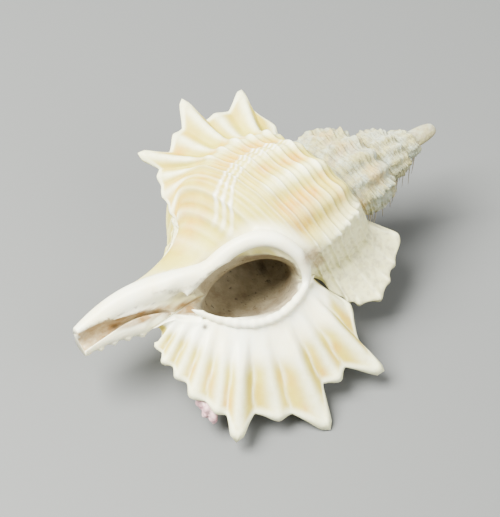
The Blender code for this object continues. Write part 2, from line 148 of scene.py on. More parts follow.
# Raised rim of the aperture and fold beside the canal: points with the tube's half sizes
RIM = (
    (11.4, -4.6, -34.5, 0.8, 0.9),
    (13.1, -4.6, -37.6, 0.7, 0.7),
    (13.7, -4.6, -41.1, 0.7, 0.7),
    (13.0, -4.6, -44.6, 0.7, 0.7),
    (11.2, -4.6, -47.5, 0.7, 0.7),
    (8.5, -4.4, -49.8, 0.7, 0.7),
    (5.6, -4.3, -51.4, 0.8, 0.8),
    (3.6, -4.9, -49.6, 1.3, 1.2),
    (2.2, -6.4, -46.0, 1.5, 1.4),
    (2.0, -8.2, -42.2, 1.5, 1.5),
    (2.9, -9.5, -38.8, 1.5, 1.5),
    (5.1, -9.9, -36.2, 1.4, 1.4),
    (8.5, -8.1, -34.3, 1.2, 1.2),
)
FOLD = (
    (2.3, -6.2, -46.5, 1.3),
    (1.5, -5.2, -50.5, 2.1),
    (-0.1, -3.9, -55.0, 2.2),
    (-1.0, -3.0, -59.5, 2.0),
    (-1.0, -2.2, -64.0, 1.7),
    (-0.4, -1.8, -68.2, 1.2),
)
# Slot of the open canal: points with its half width and depth
SLOT = (
    (6.3, -4.8, -48.6, 2.00, 3.2),
    (5.5, -4.3, -50.3, 1.35, 3.1),
    (4.8, -3.9, -52.0, 0.65, 3.0),
    (4.2, -3.8, -53.6, 0.40, 2.9),
    (3.2, -3.6, -55.5, 0.35, 2.8),
    (1.9, -3.4, -60.0, 0.45, 2.8),
    (1.3, -3.0, -64.0, 1.00, 2.6),
    (1.2, -2.6, -69.5, 1.50, 2.4),
)
# Opening of the aperture: its centre, two half axes and the way in
MOUTH = np.array((7.5, -5.6, -43.1))
MOUTH_LONG = np.array((2.75, 0.0, 7.0))
MOUTH_SHORT = np.array((3.3, 1.65, -2.78))
MOUTH_IN = np.array((-0.21, 0.93, 0.29))
# Coiled hollow at the lip: its middle, half sizes, and where it narrows and ends
HOLLOW_R = 10.8
HOLLOW_Z = -43.2
HOLLOW_WIDE = 6.2
HOLLOW_TALL = 8.2
HOLLOW_FADE = 480.0
HOLLOW_END = 580.0
HOLLOW_SIDES = 72
CRUST = ((18.2, 1.9, -56.0), (3.1, 1.7, 1.8), 24.0)   # middle, half sizes, turn
SLOT_CORNER = ((4.2, -4.8, -50.2), (3.7, -5.0, -51.4))   # where the slot leaves the aperture

# Dirt beside the rim, and the crack beside the canal
CORNER_DIRT = ((9.0, -8.2, -33.2), (9.2, -6.6, -31.9), (9.5, -4.4, -31.2))
CRACK = ((0.9, -5.3, -55.6), (2.2, -5.8, -53.0), (3.1, -6.2, -50.6), (3.3, -6.8, -48.0),
         (3.0, -7.4, -46.1))
# Brown line in the slot, from the aperture to the canal's tip
SEAM = ((4.5, -0.6, -49.6), (4.1, -0.7, -50.8), (3.9, -1.2, -52.3), (3.6, -1.9, -54.0),
        (3.2, -2.5, -56.4), (2.8, -2.8, -58.9), (1.9, -2.0, -61.5), (1.0, -1.1, -63.9))
# Small dark marks and their sizes
MARKS = ((9.1, -3.6, -51.5, 0.30), (1.4, -0.8, -62.3, 0.35), (4.1, 7.2, -35.2, 0.75),
         (3.5, 7.4, -35.4, 0.70))
# Threads of dirt under the spire: their count, first and last height, shortest and longest
DIRT_THREADS = (18, -5.0, -17.5, 2.2, 5.5)

# Lying on the back, and where the spire's tip then stands in the row frame
REST_TURN = (-85.0, 20.22, -53.62)
TIP = (0.02842, 0.02429, 0.01740)
MM = 0.001
TURN = np.array(Euler([math.radians(value) for value in REST_TURN]).to_matrix())

STEP = 0.46                # spacing of the skin's points
SPIRE_STEP = 0.37
FINE_ANGLE = 0.05          # growth steps among which the skin's stations are picked
FINE_PLACES = 2000         # places in each unit among which its rows are picked
WING_SPAN = 13.0           # mean rise of a wing and mean radius of the whorl, which set the
WHORL_SPAN = 16.0          # spacing of the stations
FACE_STEPS = 44            # points from the aperture's edge to the tips of the lip's wing
FLOOR_GAP = 0.00002        # keeps the skin off the floor, in metres

# Forms that a point of the skin may lie on, in the order in which they are joined
OUTSIDE, ON_RIM, ON_FOLD, ON_CRUST, IN_HOLLOW, IN_SLOT = range(6)

# Base colours; of a pair, a fine grain mixes the two
CREAM = ((0.44, 0.37, 0.04, 1.0), (0.54, 0.48, 0.08, 1.0))
ORANGE = ((0.50, 0.24, 0.01, 1.0), (0.56, 0.36, 0.02, 1.0))
RIB_WHITE = (0.84, 0.86, 0.64, 1.0)
BEAD_WHITE = (0.90, 0.90, 0.80, 1.0)
CHALK = ((0.34, 0.32, 0.16, 1.0), (0.36, 0.40, 0.34, 1.0))
RUST = (0.44, 0.31, 0.12, 1.0)
CHALK_PITS = (0.17, 0.15, 0.10, 1.0)
CALLUS = ((0.90, 0.92, 0.82, 1.0), (0.88, 0.84, 0.62, 1.0))
# Grey of dirt, and of painted shade in the sutures and between the spire's folds
DIRT_AND_SHADE = (0.28, 0.24, 0.18, 1.0)
STAIN = (0.27, 0.17, 0.07, 1.0)
INSIDE = ((0.26, 0.22, 0.15, 1.0), (0.17, 0.13, 0.08, 1.0))
INSIDE_SPECKS = (0.06, 0.045, 0.03, 1.0)
DARK_MARK = (0.07, 0.05, 0.03, 1.0)
CRUST_PINK = ((0.36, 0.17, 0.22, 1.0), (0.55, 0.38, 0.40, 1.0))
THREAD_DIRT = ((0.20, 0.16, 0.10, 1.0), (0.46, 0.42, 0.32, 1.0))
FLOOR_GREY = (0.105, 0.11, 0.12, 1.0)

# Studio, in metres: lights with their place, size and power, then sky and camera
LIGHTS = (("key", (-0.24, -0.04, 0.45), 0.30, 20.0), ("fill", (0.35, -0.25, 0.35), 0.4, 4.0))
LIGHT_COLOUR = (1.0, 0.99, 0.87)
SKY_COLOUR = (1.0, 1.0, 0.90, 1.0)
SKY_STRENGTH = 0.50
FLOOR_SIZE = 3.0
CAMERA_PLACE = (-0.00123, -0.15335, 0.20279)
CAMERA_TURN = (39.040, 0.088, 0.0)
CAMERA_LENS = 113.36
CAMERA_SENSOR = 36.0


def growth(angle):
    """Scale of the shell at growth angles in degrees, counted back from the last wing."""
    return WHORL_RATE ** (-np.asarray(angle, float) / 360.0)


def smooth(low, high, value):
    """Ease from 0 at low to 1 at high."""
    share = np.clip((np.asarray(value, float) - low) / (high - low), 0.0, 1.0)
    return share * share * (3.0 - 2.0 * share)


def through(points, place):
    """Catmull-Rom curve through points whose first value is their place."""
    table = np.array(points, float)
    marks, values = table[:, 0], table[:, 1:]
    place = np.asarray(place, float)
    here = np.clip(np.searchsorted(marks, place, side="left") - 1, 0, len(marks) - 2)
    there, before = here + 1, np.maximum(here - 1, 0)
    after = np.minimum(here + 2, len(marks) - 1)
    gap = (marks[there] - marks[here])[..., None]
    share = (place - marks[here])[..., None] / gap
    start = (values[there] - values[before]) / (marks[there] - marks[before])[..., None] * gap
    end = (values[after] - values[here]) / (marks[after] - marks[here])[..., None] * gap
    return ((2 * share ** 3 - 3 * share ** 2 + 1) * values[here]
            + (share ** 3 - 2 * share ** 2 + share) * start
            + (3 * share ** 2 - 2 * share ** 3) * values[there]
            + (share ** 3 - share ** 2) * end)


def around(angle, radius, height):
    """Points at azimuths around the coiling axis."""
    turn = np.radians(angle)
    depth = radius * np.sin(turn)
    depth = np.where(depth > 0.0, depth * BACK_FLATNESS, depth * FLATNESS)
    return np.stack(np.broadcast_arrays(radius * np.cos(turn), depth, height), -1)


def canal_point(angle, share):
    """Points on the canal, share 0 at its top and 1 at its tip."""
    size = through(CANAL, share)
    point = around(angle, size[..., 0], CANAL_TOP + (CANAL_TIP - CANAL_TOP) * share)
    point[..., 0] += size[..., 1]
    return point


def body_point(place, angle):
    """Points of the whorl without its wings."""
    place, angle = np.broadcast_arrays(np.asarray(place, float), np.asarray(angle, float))
    scale = growth(angle)
    flat = through(SECTION, np.minimum(place, 1.0))
    whorl = around(angle, flat[..., 0] * scale, flat[..., 1] * scale)
    share = np.clip((place - 1.0) / (BASE_S - 1.0), 0.0, 1.0)[..., None]
    radius, height = SUTURE_R * WHORL_RATE * scale, SUTURE_Z * WHORL_RATE * scale
    start = around(angle, radius, height)
    end = canal_point(angle, np.zeros_like(place))
    drop = height - CANAL_TOP
    hug = 1.0 - BASE_HUG * np.sqrt(np.maximum(np.sin(np.radians(angle)), 0.0))
    first = around(angle, 0.93 * hug * radius, height - 0.19 * drop)
    second = around(angle, np.full_like(radius, 2.2), CANAL_TOP + 0.81 * drop)
    base = ((1 - share) ** 3 * start + 3 * (1 - share) ** 2 * share * first
            + 3 * (1 - share) * share ** 2 * second + share ** 3 * end)
    canal = canal_point(angle, np.clip((place - BASE_S) / (2.0 - BASE_S), 0.0, 1.0))
    on_whorl = (place <= 1.0)[..., None]
    on_canal = (place >= BASE_S)[..., None]
    return np.where(on_whorl, whorl, np.where(on_canal, canal, base))


def sharp_edge(place, number):
    """Reach and height of a fresh wing's edge, pointed at each rib."""
    edge = {mark[0]: mark[1:3] for mark in ((0.0, SUTURE_R, SUTURE_Z),) + RIBS + NOTCHES}
    edge[2.0] = edge[LAST_RIB]
    if number == 1:
        edge.update({mark[0]: mark[1:] for mark in OLDER_EDGE})
    marks = sorted((spot,) + point + (spot in RIB_PLACES,) for spot, point in edge.items())
    table = np.array([mark[:3] for mark in marks])
    pointed = np.array([mark[3] for mark in marks])
    low = np.clip(np.searchsorted(table[:, 0], place, side="right") - 1, 0, len(marks) - 2)
    share = (place - table[low, 0]) / (table[low + 1, 0] - table[low, 0])
    bent = np.where(pointed[low + 1], share ** 1.5, 1.0 - (1.0 - share) ** 1.5)[..., None]
    return table[low, 1:] + (table[low + 1, 1:] - table[low, 1:]) * bent


def lip_edge(place):
    """Points of the inner edge of the lip's face."""
    last = LIP_EDGE[-1]
    point = through(LIP_EDGE, np.minimum(place, last[0]))
    share = np.clip((place - last[0]) / (BASE_S - last[0]), 0.0, 1.0)[..., None]
    return point + (canal_point(LIP_ANGLE, np.zeros_like(place)) - point) * share


def stations():
    """Growth angle, wing angle, share of reach and wing number along the shell."""
    angle = np.arange(LIP_ANGLE, 360.0 * TURNS, FINE_ANGLE)
    number = np.floor((angle - LIP_ANGLE) / VARIX_STEP).astype(int)
    offset = angle - number * VARIX_STEP
    reach = np.interp(offset, [mark[0] for mark in WING_RISE], [mark[1] for mark in WING_RISE])
    left = np.array(WING_LEFT)[np.minimum(number, len(WING_LEFT) - 1)]
    scale = growth(angle)
    along = np.hypot(np.diff(reach) * WING_SPAN * (left * scale)[1:],
                     np.radians(np.diff(angle)) * WHORL_SPAN * scale[1:])
    along = along / np.where(angle[1:] > 360.0 + LIP_ANGLE, SPIRE_STEP, STEP)
    length = np.concatenate(([0.0], np.cumsum(along)))
    picks = np.searchsorted(length, np.arange(0.0, length[-1], 1.0))
    close = int(round(360.0 / FINE_ANGLE))
    picks = np.unique(np.append(picks, close))
    picks = picks[angle[picks] > 0.0]
    face = np.linspace(-1.0, 0.0, FACE_STEPS)[:-1]
    lip = np.stack([-LIP_ANGLE * face, np.zeros(len(face)), face, np.zeros(len(face))], 1)
    rest = np.stack([angle[picks], number[picks] * VARIX_STEP, reach[picks], number[picks]], 1)
    return np.concatenate((lip, rest)), len(face) + int(np.searchsorted(picks, close))


def places():
    """Places across the section, closer together where the wing's edge is long."""
    fine = np.linspace(0.0, 2.0, 2 * FINE_PLACES + 1)
    edge = sharp_edge(np.minimum(fine, LAST_RIB), 0)
    run = np.hypot(*np.diff(edge, axis=0).T) * 0.6 + np.diff(fine) * 18.0
    run = np.where(fine[1:] > WING_END, np.diff(fine) * 20.0, run)
    length = np.concatenate(([0.0], np.cumsum(run)))
    picks = np.searchsorted(length, np.arange(0.0, length[-1], STEP))
    fixed = [0.0, BASE_S, 2.0] + RIB_PLACES
    keep = np.unique(np.append(picks, [int(round(spot * FINE_PLACES)) for spot in fixed]))
    return fine[keep]


def cord(place):
    """Height of the spiral cords across the section, at the lip."""
    height = np.zeros_like(place)
    for index, rib in enumerate(RIBS):
        low = RIBS[index - 1][0] if index else 0.0
        high = RIBS[index + 1][0] if index + 1 < len(RIBS) else WING_END
        reach = 0.5 * np.where(place < rib[0], rib[0] - low, high - rib[0])
        near = np.clip(np.abs(place - rib[0]) / reach, 0.0, 1.0)
        height += rib[3] * np.cos(0.5 * np.pi * near) ** 2
    return height


def crest(place, lines, width):
    """1 on the given lines across the section, falling off on both sides."""
    away = np.min(np.abs(np.asarray(place)[..., None] - np.array(lines)), axis=-1)
    return np.exp(-(away / width) ** 2)


def fold(angle, wing_angle, place):
    """Axial folds between two wings, 0 to 1."""
    offset = (angle - wing_angle) % VARIX_STEP
    ridge = 0.5 - 0.5 * np.cos(2 * np.pi * (offset - FOLD_START) / FOLD_STEP)
    ridge = ridge * smooth(8.0, 26.0, offset)
    ridge = ridge * (1.0 - smooth(134.0, 148.0, offset))
    return ridge * smooth(0.0, 0.15, place) * (1.0 - smooth(0.6, 1.1, place))


def bead_rows(offset, place):
    """Count of the bead row, 0 to 2, at degrees behind a wing, and how far the rows reach."""
    table = np.array(BEADS)
    first = np.interp(place, table[:, 0], table[:, 1])
    row = (offset - first) / np.interp(place, table[:, 0], table[:, 2])
    inside = smooth(-0.8, -0.3, row) * (1.0 - smooth(2.3, 2.8, row))
    return row, inside * smooth(0.10, 0.35, place) * (1.0 - smooth(1.12, 1.25, place))


def relief(place, column):
    """Height of cords, threads, folds and other relief on the surface."""
    angle, wing_angle, reach, number = (column[:, index][:, None] for index in range(4))
    place = place[None, :]
    scale = growth(angle)
    on_face = 1.0 + reach
    on_wing = np.where(reach < 0.0, 1.0, smooth(0.02, 0.35, reach))
    fade = np.where((number > 0) & (place < 1.0), smooth(1.0, 0.9, place), 1.0)
    fade = fade * (1.0 - smooth(1.25, 1.45, place))
    cords = crest(place, RIB_PLACES, 0.017)
    threads = crest(place, NOTCH_PLACES, 0.013)
    narrow = 0.60 * cords + 0.32 * threads
    broad = cord(place) * np.where(reach < 0.0, smooth(0.06, 0.42, on_face), 1.0)
    height = scale * fade * (narrow + (broad - narrow) * on_wing)
    ridge = fold(angle, wing_angle, place)
    old = smooth(352.0, 420.0, angle)
    tall_fold = FOLD_HEIGHT * (1.0 + 0.7 * old)
    height += scale * ridge * (tall_fold + (0.30 + 0.9 * old) * ridge * (cords + 0.5 * threads))
    past = (angle - wing_angle) % VARIX_STEP - OLD_LIP[0] - OLD_LIP[1] * place
    whorl = smooth(0.05, 0.15, place) * (1.0 - smooth(0.80, 0.95, place))
    front = (number == 1) * whorl
    height += front * (0.35 * np.exp(-(past / 1.6) ** 2)
                       - 0.25 * smooth(0.5, 8.0, past) * (1.0 - smooth(26.0, 44.0, past)))
    middle, centre, tall, wide, high = BACK_KNOB
    away = np.clip(np.hypot((angle - middle) / wide, (place - centre) / high), 0.0, 1.0)
    height += tall * np.cos(0.5 * np.pi * away) ** 2
    out = np.where(reach < 0.0, on_face, reach)
    height *= 1.0 - 0.5 * out
    blunt = np.exp(-((1.0 - out) / 0.07) ** 2) * crest(place, RIB_PLACES, 0.022)
    lower_end = np.where(number == 0, 1.0 - smooth(1.25, 1.45, place), 1.0 - smooth(0.85, 1.02, place))
    height += np.where(number < 2, 0.42 * scale * blunt * lower_end, 0.0)
    scallop = np.exp(-((1.0 - out) / 0.15) ** 2) * crest(place, RIB_PLACES, 0.03)
    height += np.where(number == 2, 0.75 * scale * scallop * (1.0 - smooth(0.8, 0.95, place)), 0.0)
    canal = smooth(1.42, 1.5, place) * (1.0 - smooth(1.9, 2.0, place)) * (number == 0)
    lower = np.exp(-((angle - 4.0) / 16.0) ** 2)
    height += 0.40 * canal * lower * np.cos(2 * np.pi * place / 0.11)
    return height


def rough(points, amount):
    """Worn and encrusted surface: irregular heights where the amount is above 0."""
    height = np.zeros(len(points))
    for index in np.nonzero(amount > 0.01)[0]:
        spot = Vector(points[index])
        height[index] = amount[index] * (0.30 * noise.noise(spot * 0.8)
                                         + 0.17 * noise.noise(spot * 2.1))
    return height


def surface_grid(columns, rows):
    """Points of the outer surface, one line for each column."""
    angle, wing_angle, reach, number = (columns[:, index][:, None] for index in range(4))
    place = rows[None, :]
    plain = body_point(place, angle)
    worn = number >= 2
    spot = np.minimum(rows, LAST_RIB)
    fresh = np.where((number == 1)[..., None], sharp_edge(spot, 1)[None],
                     sharp_edge(spot, 0)[None])
    old = through(WORN_EDGE, np.minimum(rows, 1.0))[None]
    edge_flat = np.where(worn[..., None], old, fresh)
    scale = growth(wing_angle)
    radius, height = edge_flat[..., 0] * scale, edge_flat[..., 1] * scale
    edge = around(wing_angle, radius, height)
    edge[..., 1] = radius * np.sin(np.radians(wing_angle))
    curl = CURL[2] * (np.maximum(edge_flat[..., 0] - CURL[0], 0.0) / (CURL[1] - CURL[0])) ** 2
    edge[..., 1] += np.where(number == 0, curl, 0.0)
    left = np.array(WING_LEFT)[np.minimum(number.astype(int), len(WING_LEFT) - 1)]
    share = left * np.maximum(reach, 0.0) * (1.0 - smooth(1.30, WING_END, place))
    share = share * np.where(worn, 1.0 - smooth(0.80, 1.0, place), 1.0)
    root = body_point(place, wing_angle)
    points = plain + (edge - root) * share[..., None]
    tips = (root + (edge - root) * (1.0 - smooth(1.30, WING_END, place))[..., None])[0]
    inner = lip_edge(rows)[None]
    face = inner + (tips[None] - inner) * (1.0 + reach)[..., None]
    points = np.where(((reach < 0.0) & (place < BASE_S))[..., None], face, points)
    across = np.gradient(points, axis=1)
    along = np.gradient(points, axis=0)
    normal = np.cross(across, along)
    normal /= np.maximum(np.linalg.norm(normal, axis=-1, keepdims=True), 1e-9)
    wear = 0.20 + 0.80 * smooth(352.0, 430.0, angle) + 0.0 * place
    height = relief(rows, columns) + rough(plain.reshape(-1, 3), wear.ravel()).reshape(wear.shape)
    return points + normal * height[..., None]


def zipper(first, second, points):
    """Triangles that close the strip between two rows of point numbers."""
    faces = []
    i = j = 0
    while i < len(first) - 1 or j < len(second) - 1:
        step_first = i < len(first) - 1
        if step_first and j < len(second) - 1:
            step_first = (np.linalg.norm(points[first[i + 1]] - points[second[j]])
                          < np.linalg.norm(points[second[j + 1]] - points[first[i]]))
        corners = [first[i], second[j]]
        if step_first:
            i += 1
            corners.append(first[i])
        else:
            j += 1
            corners.append(second[j])
        if len(set(corners)) == 3:
            faces.append(corners)
    return faces


def outer_surface():
    """Points, faces and growth coordinates of the closed outer form."""
    columns, close = stations()
    rows = places()
    grid = surface_grid(columns, rows)
    inner = int(np.sum(rows < 0.93))
    merge = int(np.searchsorted(rows, BASE_S - 1e-6))
    number = np.arange(grid.shape[0] * grid.shape[1]).reshape(grid.shape[:2])
    number[close, merge:] = number[0, merge:]
    points = grid.reshape(-1, 3)
    faces = []
    for i in range(len(columns) - 1):
        count = len(rows) if i + 1 <= close else inner
        left, right = number[i, :count], number[i + 1, :count]
        faces += np.stack((left[:-1], right[:-1], right[1:], left[1:]), 1).tolist()
    open_from = int(np.searchsorted(columns[close:, 0], columns[-1, 0] - 360.0)) + close
    faces += zipper(number[:open_from + 1, 0].tolist(), number[close:, inner - 1].tolist(), points)
    faces += zipper(number[0, :merge + 1].tolist(), number[close, inner - 1:merge + 1].tolist(),
                    points)
    faces.append(number[:close, -1].tolist())
    loop = number[open_from:, 0].tolist() + number[-1, 1:inner].tolist()
    rings = [np.array(loop)]
    for turn in np.radians(NOSE_RISE):
        rings.append(np.arange(len(loop)) + len(points))
        blunt = math.cos(turn) ** 0.55
        ring = points[loop] * (blunt, blunt, 1.0 - math.sin(turn))
        points = np.concatenate((points, ring))
    points = np.concatenate((points, [(0.0, 0.0, 0.0)]))
    for low, high in zip(rings, rings[1:]):
        faces += np.stack((low, np.roll(low, -1), np.roll(high, -1), high), 1).tolist()
    top = np.full(len(loop), len(points) - 1)
    faces += np.stack((rings[-1], np.roll(rings[-1], -1), top), 1).tolist()
    return points, faces, columns, rows, grid


def mesh_from(name, points, faces):
    """Mesh of the used points, with its faces turned outwards."""
    used = np.unique(np.concatenate([np.asarray(face) for face in faces]))
    new = np.full(len(points), -1)
    new[used] = np.arange(len(used))
    data = bpy.data.meshes.new(name)
    data.from_pydata((np.asarray(points)[used]).tolist(), [], [new[face].tolist() for face in faces])
    form = bmesh.new()
    form.from_mesh(data)
    bmesh.ops.recalc_face_normals(form, faces=form.faces)
    form.to_mesh(data)
    form.free()
    return data


def smooth_line(points, steps, closed):
    """Points with their sizes on a Catmull-Rom line through the given ones."""
    table = np.array(points, float)
    count = len(table)
    line = []
    for index in range(count if closed else count - 1):
        near = [index + shift for shift in (-1, 0, 1, 2)]
        near = [k % count if closed else min(max(k, 0), count - 1) for k in near]
        a, b, c, d = table[near]
        for share in np.arange(steps) / steps:
            line.append(0.5 * (2 * b + (c - a) * share + (2 * a - 5 * b + 4 * c - d) * share ** 2
                               + (3 * b - a - 3 * c + d) * share ** 3))
    if not closed:
        line.append(table[-1])
    return np.array(line)


def rings_mesh(name, rings, closed):
    """Closed mesh through rings of equal count, with caps unless it runs round."""
    count, sides = rings.shape[:2]
    number = np.arange(count * sides).reshape(count, sides)
    faces = []
    for index in range(count if closed else count - 1):
        here, there = number[index], number[(index + 1) % count]
        faces += np.stack((here, np.roll(here, -1), np.roll(there, -1), there), 1).tolist()
    if not closed:
        faces += [number[0].tolist(), number[-1][::-1].tolist()]
    return mesh_from(name, rings.reshape(-1, 3), faces)


def tube(name, line, sides, closed):
    """Closed tube along a line of points with a half width and a half height each."""
    centre = line[:, :3]
    if closed:
        along = np.roll(centre, -1, 0) - np.roll(centre, 1, 0)
    else:
        along = np.gradient(centre, axis=0)
    side = np.cross(along, (0.0, -1.0, 0.0))
    side /= np.linalg.norm(side, axis=1, keepdims=True)
    rise = np.cross(side, along)
    rise /= np.linalg.norm(rise, axis=1, keepdims=True)
    turn = 2 * np.pi * np.arange(sides) / sides
    rings = (centre[:, None] + side[:, None] * (line[:, 3:4, None] * np.cos(turn)[None, :, None])
             + rise[:, None] * (line[:, -1:, None] * np.sin(turn)[None, :, None]))
    return rings_mesh(name, rings, closed)


def hollow_mesh():
    """Hollow of the aperture and the whorl behind it."""
    turn = 2 * np.pi * np.arange(HOLLOW_SIDES) / HOLLOW_SIDES
    rings = []
    for depth in [-9.0, -4.0, -1.0] + list(np.arange(0.0, 4.1, 0.5)):
        size = 1.0 + 0.03 * max(depth, -0.7)
        rings.append(MOUTH + MOUTH_IN * depth + np.outer(np.cos(turn), MOUTH_LONG * size)
                     + np.outer(np.sin(turn), MOUTH_SHORT * size))
    for angle in [22.0, 30.0, 38.0, 49.0] + list(range(60, 560, 12)) + [570.0]:
        scale = growth(angle)
        faded = max((angle - HOLLOW_FADE) / (HOLLOW_END - HOLLOW_FADE), 0.0)
        end = math.sqrt(1.0 - faded ** 2)
        rings.append(around(angle, scale * (HOLLOW_R + HOLLOW_WIDE * end * np.sin(turn)),
                            scale * (HOLLOW_Z + HOLLOW_TALL * end * np.cos(turn))))
    return rings_mesh("hollow", np.array(rings), False)


def slot_mesh():
    """Slot of the open canal."""
    rings = []
    down = np.linspace(0.0, 1.0, 6)
    for x, y, z, wide, depth in smooth_line(SLOT, 8, False):
        wall = [(wide * (1.0 - 0.4 * share), y + depth * share) for share in down]
        ring = [(x - 2.2 * wide, y - 6.0, z), (x + 2.2 * wide, y - 6.0, z)]
        ring += [(x + half, level, z) for half, level in wall]
        ring += [(x - half, level, z) for half, level in reversed(wall)]
        rings.append(ring)
    return rings_mesh("slot", np.array(rings), False)


def crust_mesh():
    """Lumpy crust on the back of the wing."""
    form = bmesh.new()
    bmesh.ops.create_icosphere(form, subdivisions=5, radius=1.0)
    centre, sizes, turn = CRUST
    for vert in form.verts:
        lump = 1.0 + 0.16 * math.sin(7.0 * vert.co.x + 2.0) * math.sin(6.0 * vert.co.z + 1.0)
        lump += 0.10 * noise.noise(vert.co * 5.0)
        vert.co = Vector([axis * size * lump for axis, size in zip(vert.co, sizes)])
    form.transform(Matrix.Translation(centre) @ Matrix.Rotation(math.radians(turn), 4, "Y"))
    data = bpy.data.meshes.new("crust")
    form.to_mesh(data)
    form.free()
    return data


def linked(name, data):
    """New object in the scene, of a mesh, light or camera."""
    item = bpy.data.objects.new(name, data)
    bpy.context.scene.collection.objects.link(item)
    return item


def shaped(base, steps):
    """Mesh after uniting it with some forms and cutting others out of it."""
    body = linked("body", base)
    tools = []
    for data, operation in steps:
        tool = linked(data.name, data)
        tools.append(tool)
        change = body.modifiers.new(data.name, "BOOLEAN")
        change.operation = operation
        change.solver = "MANIFOLD"
        change.object = tool
    graph = bpy.context.evaluated_depsgraph_get()
    result = bpy.data.meshes.new_from_object(body.evaluated_get(graph))
    for item in [body] + tools:
        bpy.data.objects.remove(item, do_unlink=True)
    return result


def soften(points, edges, weight, rounds):
    """Points or values drawn towards the mean of their neighbours by their weights."""
    count = np.bincount(edges.ravel(), minlength=len(points))[:, None]
    for _ in range(rounds):
        total = np.zeros_like(points)
        for axis in range(points.shape[1]):
            total[:, axis] = (np.bincount(edges[:, 0], points[edges[:, 1], axis], len(points))
                              + np.bincount(edges[:, 1], points[edges[:, 0], axis], len(points)))
        points = points + weight[:, None] * (total / count - points)
    return points


def distance_to(points, line):
    """Distance of each point to a line of points."""
    best = np.full(len(points), 1e9)
    for spot in line:
        best = np.minimum(best, np.linalg.norm(points - spot, axis=1))
    return best


def nearest(sets, points):
    """For each point, which set holds the closest one, and its number there."""
    tree = KDTree(sum(len(group) for group in sets))
    owner = []
    for kind, group in enumerate(sets):
        for index, spot in enumerate(group):
            tree.insert(spot, len(owner))
            owner.append((kind, index))
    tree.balance()
    return np.array([owner[tree.find(spot)[1]] for spot in points])


def coordinates(data):
    """Points of a mesh."""
    points = np.empty(len(data.vertices) * 3)
    data.vertices.foreach_get("co", points)
    return points.reshape(-1, 3)


def patches(points, size, low, high):
    """Irregular patches, 0 to 1, of about the given size."""
    value = np.array([noise.noise(Vector(spot) / size) for spot in points])
    return smooth(low, high, value)


def growth_marks(place, column):
    """Ribs, folds, bead rows and the old lip at growth coordinates, as named values."""
    angle, wing_angle, reach, number = column.T
    offset = (angle - wing_angle) % VARIX_STEP
    past = offset - OLD_LIP[0] - OLD_LIP[1] * place
    row, beads = bead_rows(offset, place)
    return SimpleNamespace(
        place=place, angle=angle, reach=reach, number=number, offset=offset, past=past,
        out=np.where(reach < 0.0, 1.0 + reach, reach),
        on_wing=np.where(reach < 0.0, 1.0, smooth(0.02, 0.30, reach)),
        cords=crest(place, RIB_PLACES, 0.018),
        wide_ribs=crest(place, RIB_PLACES, 0.020),
        threads=crest(place, NOTCH_PLACES, 0.012),
        ridge=fold(angle, wing_angle, place),
        strong=np.where((number == 1) & (np.abs(offset - 101.0) < 13.0), 0.35, 1.0),
        beyond=(number == 1) * smooth(0.0, 6.0, past) + (number == 2) * (reach > 0.0),
        row=row, beads=beads)


def white_mask(at):
    """Ribs, folds, edges of the wings, the old lip and the faded whorl before it."""
    white = np.maximum(0.30 * np.maximum(at.cords, 0.6 * at.threads) * (1.0 - 0.6 * at.beyond),
                       at.strong * at.ridge ** 2 * (0.55 + at.cords) * (1.0 - 0.7 * at.beads))
    wavy = crest(at.place + 0.008 * np.sin(14.0 * at.out), NOTCH_PLACES, 0.011)
    streaks = np.maximum(at.wide_ribs, 0.7 * (at.reach < 0.0) * wavy)
    white = (1.0 - at.on_wing) * white + at.on_wing * streaks * 0.85
    faded = np.where(at.number == 1, smooth(-24.0, 4.0, at.past), at.number == 2)
    edge = smooth(0.88, 0.98, at.out) * (at.number < 2)
    old_lip = np.exp(-(at.past / 1.9) ** 2) * (at.number == 1)
    old_lip = old_lip * smooth(0.05, 0.15, at.place) * (1.0 - smooth(0.75, 0.9, at.place))
    return np.maximum.reduce((white, 0.68 * faded, 0.9 * edge, old_lip))


def warm_mask(at, points):
    """Orange between the folds, on the base beside a wing and in the valleys of the wings."""
    patch = patches(points, 4.0, -0.15, 0.30)
    streak = patches(points * (1.0, 1.0, 0.45), 2.2, -0.20, 0.35)
    fresh = ((at.number == 1) | (at.number == 0) & (at.reach >= 0.0)) & (at.offset > 12.0)
    between = np.clip(1.0 - 1.3 * at.strong * at.ridge, 0.0, 1.0)
    whorl = fresh * (1.0 - at.on_wing) * between * (1.0 - 0.85 * at.beyond)
    whorl = whorl * smooth(0.1, 0.25, at.place) * (1.0 - smooth(0.72, 0.95, at.place))
    base = (at.number == 1) * (1.0 - smooth(45.0, 62.0, at.offset))
    base = base * smooth(0.80, 1.0, at.place) * (1.0 - smooth(1.30, 1.42, at.place))
    valley = at.on_wing * (1.0 - at.wide_ribs) * (at.number < 2)
    valley = valley * smooth(0.35, 0.75, at.out) * (1.0 - smooth(0.90, 0.99, at.out))
    return np.maximum.reduce((whorl * (0.30 + 0.9 * patch), 0.8 * base * (0.5 + 0.5 * streak),
                              0.75 * valley * (0.35 + 0.65 * patch)))


def callus_mask(at, points, kind):
    """Glossy white around the aperture, beside the canal and on the lip's face."""
    rim_away = distance_to(points, smooth_line(RIM, 4, True)[:, :3])
    fold_away = distance_to(points, smooth_line(FOLD, 6, False)[:, :3])
    face = (at.reach < 0.0) * (1.0 - smooth(0.30, 0.55, at.out))
    canal = smooth(1.40, 1.52, at.place) * (kind == OUTSIDE)
    return np.maximum.reduce((1.0 - smooth(1.3, 3.5, rim_away),
                              1.0 - smooth(1.8, 3.2, fold_away), face, canal))


